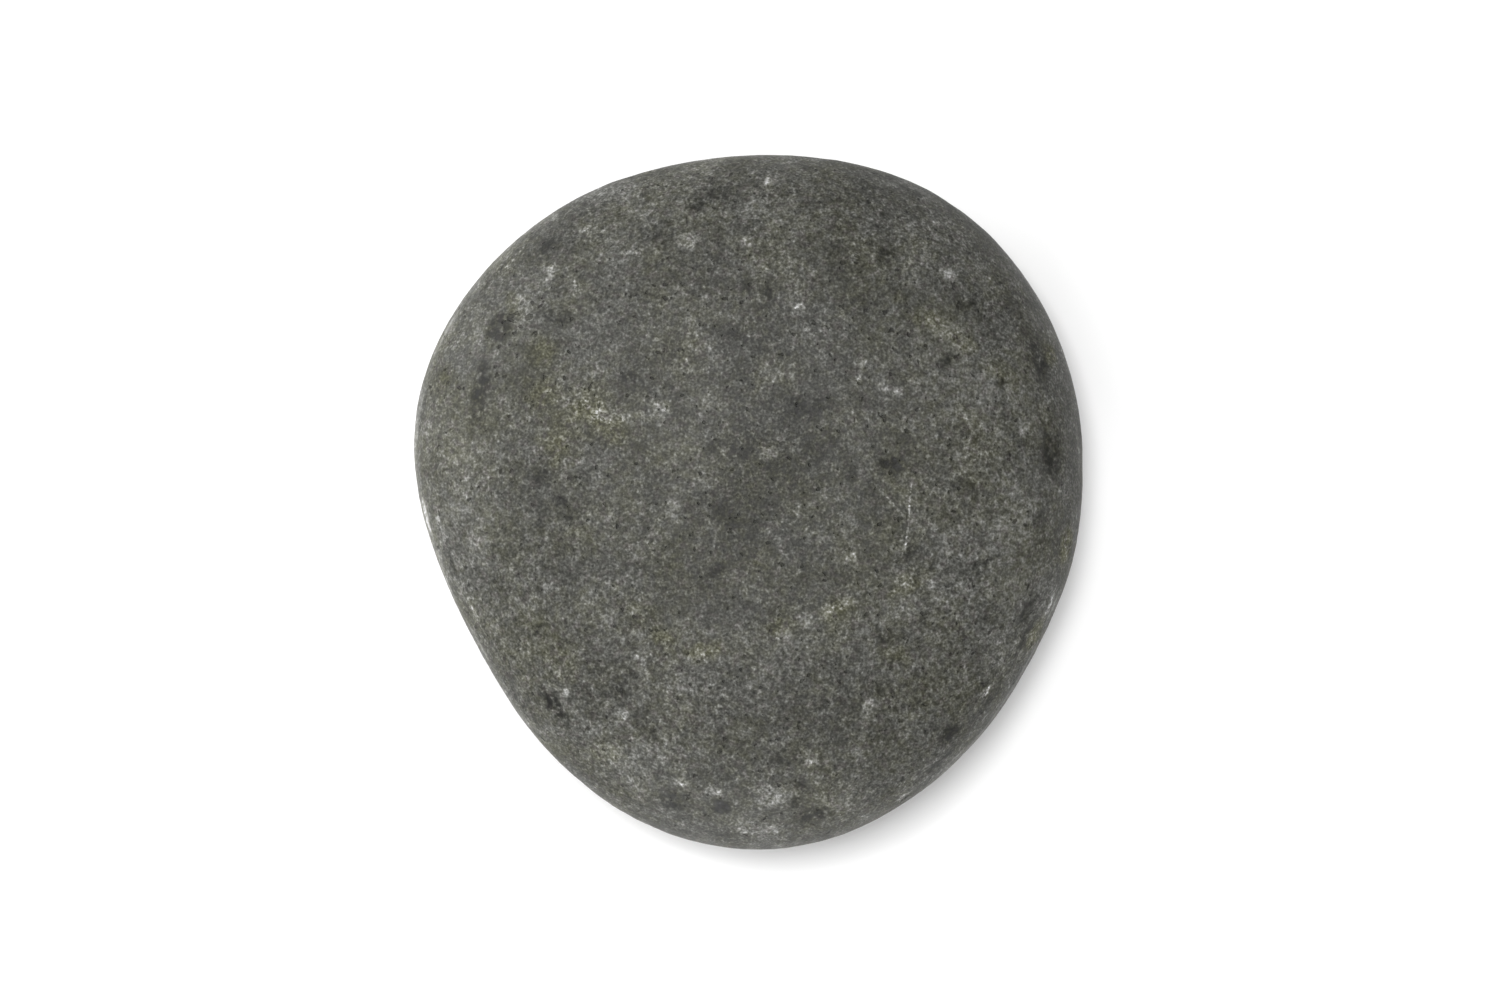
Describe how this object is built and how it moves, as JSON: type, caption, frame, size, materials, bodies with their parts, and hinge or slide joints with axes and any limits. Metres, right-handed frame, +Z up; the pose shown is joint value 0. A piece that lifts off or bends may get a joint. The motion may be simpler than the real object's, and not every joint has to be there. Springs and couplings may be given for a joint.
{
  "type": "massage stone",
  "caption": "Smooth, flattened river pebble of dark basalt, a rounded triangle in plan, with a flat worn spot underneath; warmed and laid on or stroked over the skin.",
  "frame": {"origin": "on the surface the stone rests on, under the middle of its length and width", "axes": "+Z up through the crown, across the stone's thickness; +Y along its longest side; +X across its width, with the quick shoulder on the +X, -Y side"},
  "size_m": [0.077, 0.08, 0.027],
  "materials": {
    "basalt": "matt, tumbled smooth; dark warm grey with fine pale flecks, olive stains, small pits and hair scratches"
  },
  "bodies": {
    "root": {"stone": "basalt"}
  },
  "joints": []
}
